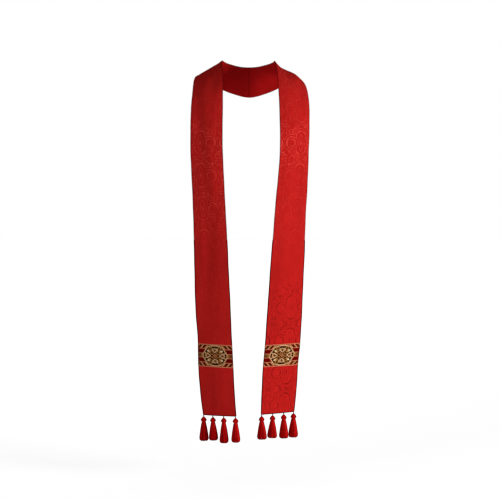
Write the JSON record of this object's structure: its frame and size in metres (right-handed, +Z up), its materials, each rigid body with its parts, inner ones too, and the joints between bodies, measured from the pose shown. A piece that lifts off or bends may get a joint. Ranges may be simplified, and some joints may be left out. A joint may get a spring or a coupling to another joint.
{
  "type": "clerical stole",
  "caption": "Long cloth band worn round the neck and hanging down the front, with woven bands and tassels at its ends.",
  "frame": {"origin": "middle of the neck, level with the cloth on the shoulders beside it, where the wearer holds the stole up", "axes": "+Z up, -Y the way the wearer faces, +X to the wearer's left"},
  "size_m": [0.4415, 0.245, 1.4217],
  "materials": {
    "damask": "red damask, tone on tone, with a soft satin sheen",
    "galloon": "woven galloon in old gold on dark brown and maroon",
    "tassel_silk": "red rayon thread, satin"
  },
  "bodies": {
    "root": {"stole_half_right": "damask", "stole_half_left": "damask", "galloon_right": "galloon", "galloon_left": "galloon", "tassel_right_1": "tassel_silk", "tassel_right_2": "tassel_silk", "tassel_right_3": "tassel_silk", "tassel_right_4": "tassel_silk", "tassel_left_1": "tassel_silk", "tassel_left_2": "tassel_silk", "tassel_left_3": "tassel_silk", "tassel_left_4": "tassel_silk"}
  },
  "joints": []
}
